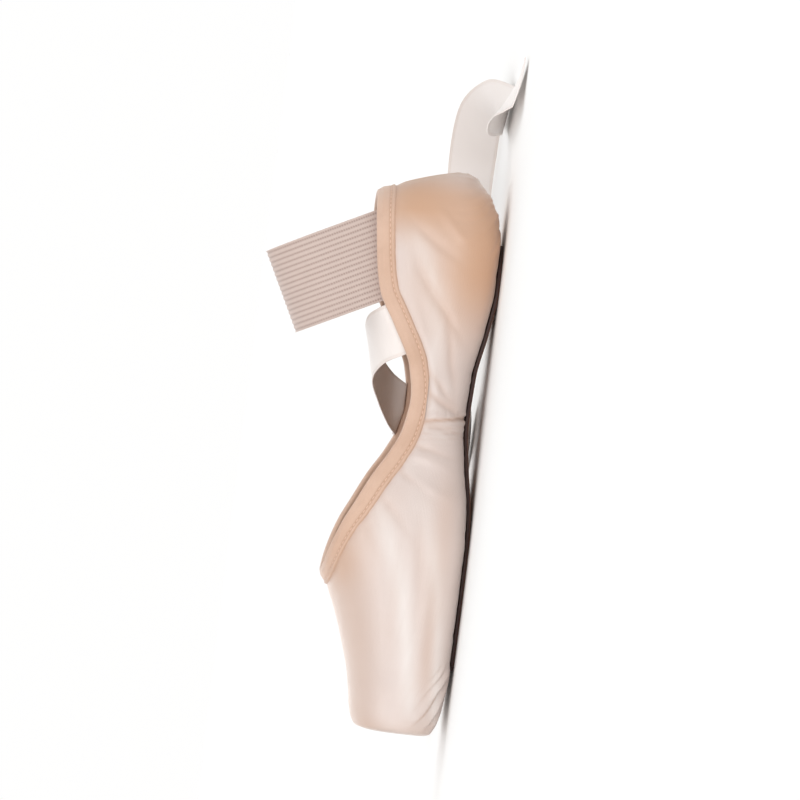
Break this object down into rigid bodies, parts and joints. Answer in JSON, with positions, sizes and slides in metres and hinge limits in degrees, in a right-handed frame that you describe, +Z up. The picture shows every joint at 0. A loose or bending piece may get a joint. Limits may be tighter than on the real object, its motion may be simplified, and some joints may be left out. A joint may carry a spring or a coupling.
{
  "type": "pointe shoe",
  "caption": "Worn satin pointe shoe with a flat platform, peach collar binding, leather outsole, mesh ankle elastic and two loose ribbons.",
  "frame": {"origin": "On the floor under the middle of the shoe's length and width", "axes": "+X from toe to heel, +Z up, and the plane y = 0 halves the shoe"},
  "size_m": [0.2843, 0.208, 0.0986],
  "materials": {
    "outsole_leather": "matte",
    "satin": "satin",
    "insole_lining": "matte",
    "binding_tape": "matte",
    "mesh_elastic": "matte",
    "ribbon_satin": "satin"
  },
  "bodies": {
    "root": {"outsole": "outsole_leather", "upper": "satin", "insole": "insole_lining", "collar_binding": "binding_tape", "elastic_band": "mesh_elastic", "ribbon_left": "ribbon_satin", "ribbon_right": "ribbon_satin"}
  },
  "joints": []
}
